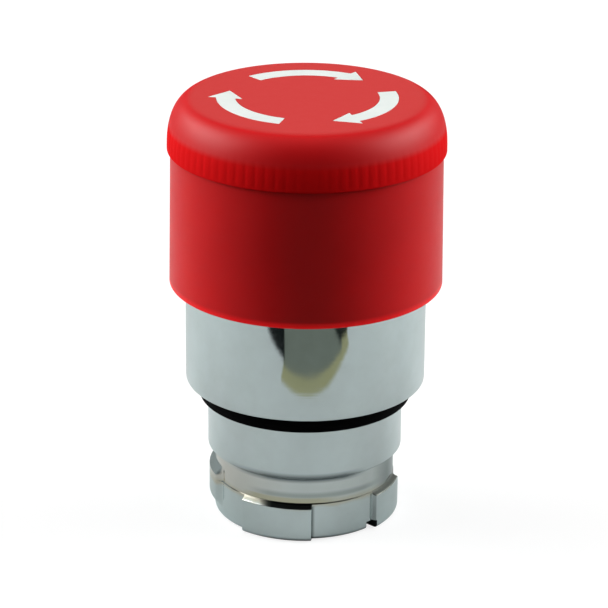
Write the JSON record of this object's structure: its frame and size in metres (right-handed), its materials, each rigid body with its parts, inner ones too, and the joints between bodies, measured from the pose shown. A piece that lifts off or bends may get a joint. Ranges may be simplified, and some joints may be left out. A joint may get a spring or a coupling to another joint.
{
  "type": "emergency stop push button head",
  "caption": "Latching mushroom emergency stop button head for a 22 mm panel hole, released by a clockwise turn, with a metal bezel, gasket and rear bayonet barrel.",
  "frame": {"origin": "on the button's axis, in the plane of the gasket's underside, which is the front face of the panel when fitted", "axes": "+Z out of the panel along the button's axis, towards the cap; -Z through the panel hole; -Y the side of the bayonet ring with the widest plain gap; +X completes the right-handed frame"},
  "size_m": [0.031, 0.031, 0.0489],
  "materials": {
    "red_cap": "satin",
    "red_skirt": "satin",
    "white_arrows": "satin",
    "chromed_body": "polished",
    "gasket_rubber": "matte",
    "zinc_stem": "passivated zinc",
    "pin_steel": "satin",
    "natural_acetal": "satin",
    "seal_rubber": "matte",
    "plate_steel": "satin",
    "black_acetal": "satin",
    "black_plastic": "satin",
    "spring_steel": "polished wire",
    "ring_brass": "satin"
  },
  "bodies": {
    "body": {"housing": "chromed_body", "panel_gasket": "gasket_rubber", "upper_bush": "natural_acetal", "lower_bush": "natural_acetal", "bush_o_ring": "seal_rubber", "lip_seal": "seal_rubber", "seal_washer": "plate_steel", "latch_spring": "spring_steel", "retaining_ring": "plate_steel", "spring_plate": "plate_steel", "lock_ring": "ring_brass", "return_spring": "spring_steel", "torsion_spring": "spring_steel"},
    "sleeve": {"turn_sleeve": "black_acetal"},
    "knob": {"cap": "red_cap", "skirt": "red_skirt", "arrow_inlays": "white_arrows", "stem": "zinc_stem", "roll_pin": "pin_steel", "spring_seat": "plate_steel", "thrust_washer": "plate_steel", "e_clip": "plate_steel"},
    "plunger": {"actuator": "black_plastic"}
  },
  "joints": [
    {"name": "twist", "type": "hinge", "parent": "body", "child": "sleeve", "pos_m": [0, 0, 0], "axis": [0, 0, -1], "range_deg": [0, 45], "stiffness_Nm_per_rad": 0.02, "springref_deg": -28.65, "deforming": ["torsion_spring"]},
    {"name": "press", "type": "slide", "parent": "sleeve", "child": "knob", "axis": [0, 0, -1], "range_m": [0, 0.0055], "stiffness_N_per_m": 1500, "springref_m": -0.006, "deforming": ["return_spring", "latch_spring"]},
    {"name": "actuator_press", "type": "slide", "parent": "body", "child": "plunger", "axis": [0, 0, -1], "range_m": [0, 0.0055]}
  ],
  "couplings": [
    {"joint": "actuator_press", "follows": "press", "ratio": 1}
  ]
}
